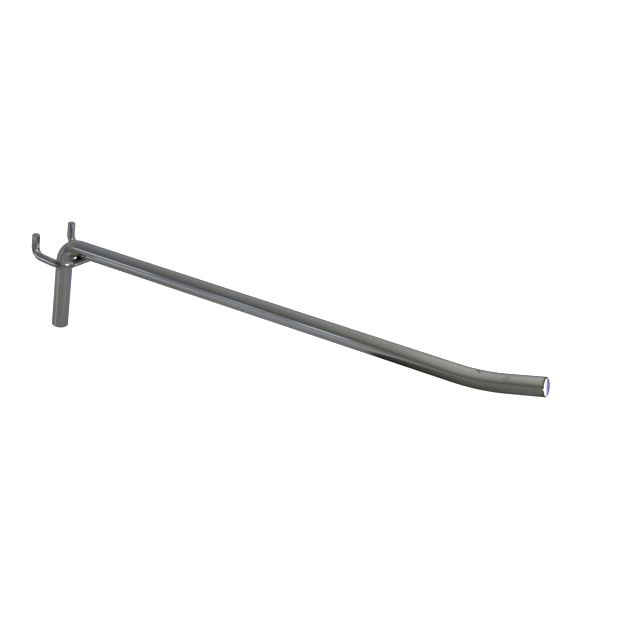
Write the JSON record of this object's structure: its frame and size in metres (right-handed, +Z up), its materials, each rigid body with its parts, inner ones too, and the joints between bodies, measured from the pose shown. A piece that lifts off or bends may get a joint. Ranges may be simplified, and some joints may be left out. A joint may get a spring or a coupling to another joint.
{
  "type": "single peg hook",
  "caption": "Chrome-plated display hook: a round bar bent to a short leg and a long arm with a raised tip, welded to a bent wire whose upturned pegs hang it on a perforated panel.",
  "frame": {"origin": "on the panel's front face, midway between the two holes that the pegs go through, at the height of the wire's side runs", "axes": "+X along the panel, +Y into the panel, +Z up; the arm reaches out towards -Y"},
  "size_m": [0.0294, 0.2629, 0.0788],
  "materials": {
    "chrome_bar": "bright chrome plate over a drawn steel bar, with faint drawing lines and small handling marks",
    "chrome_wire": "bright chrome plate over bent steel wire",
    "plated_weld": "chrome plate over weld metal, slightly uneven and warmer in tone"
  },
  "bodies": {
    "root": {"arm_rod": "chrome_bar", "peg_wire": "chrome_wire", "weld_bead": "plated_weld"}
  },
  "joints": []
}
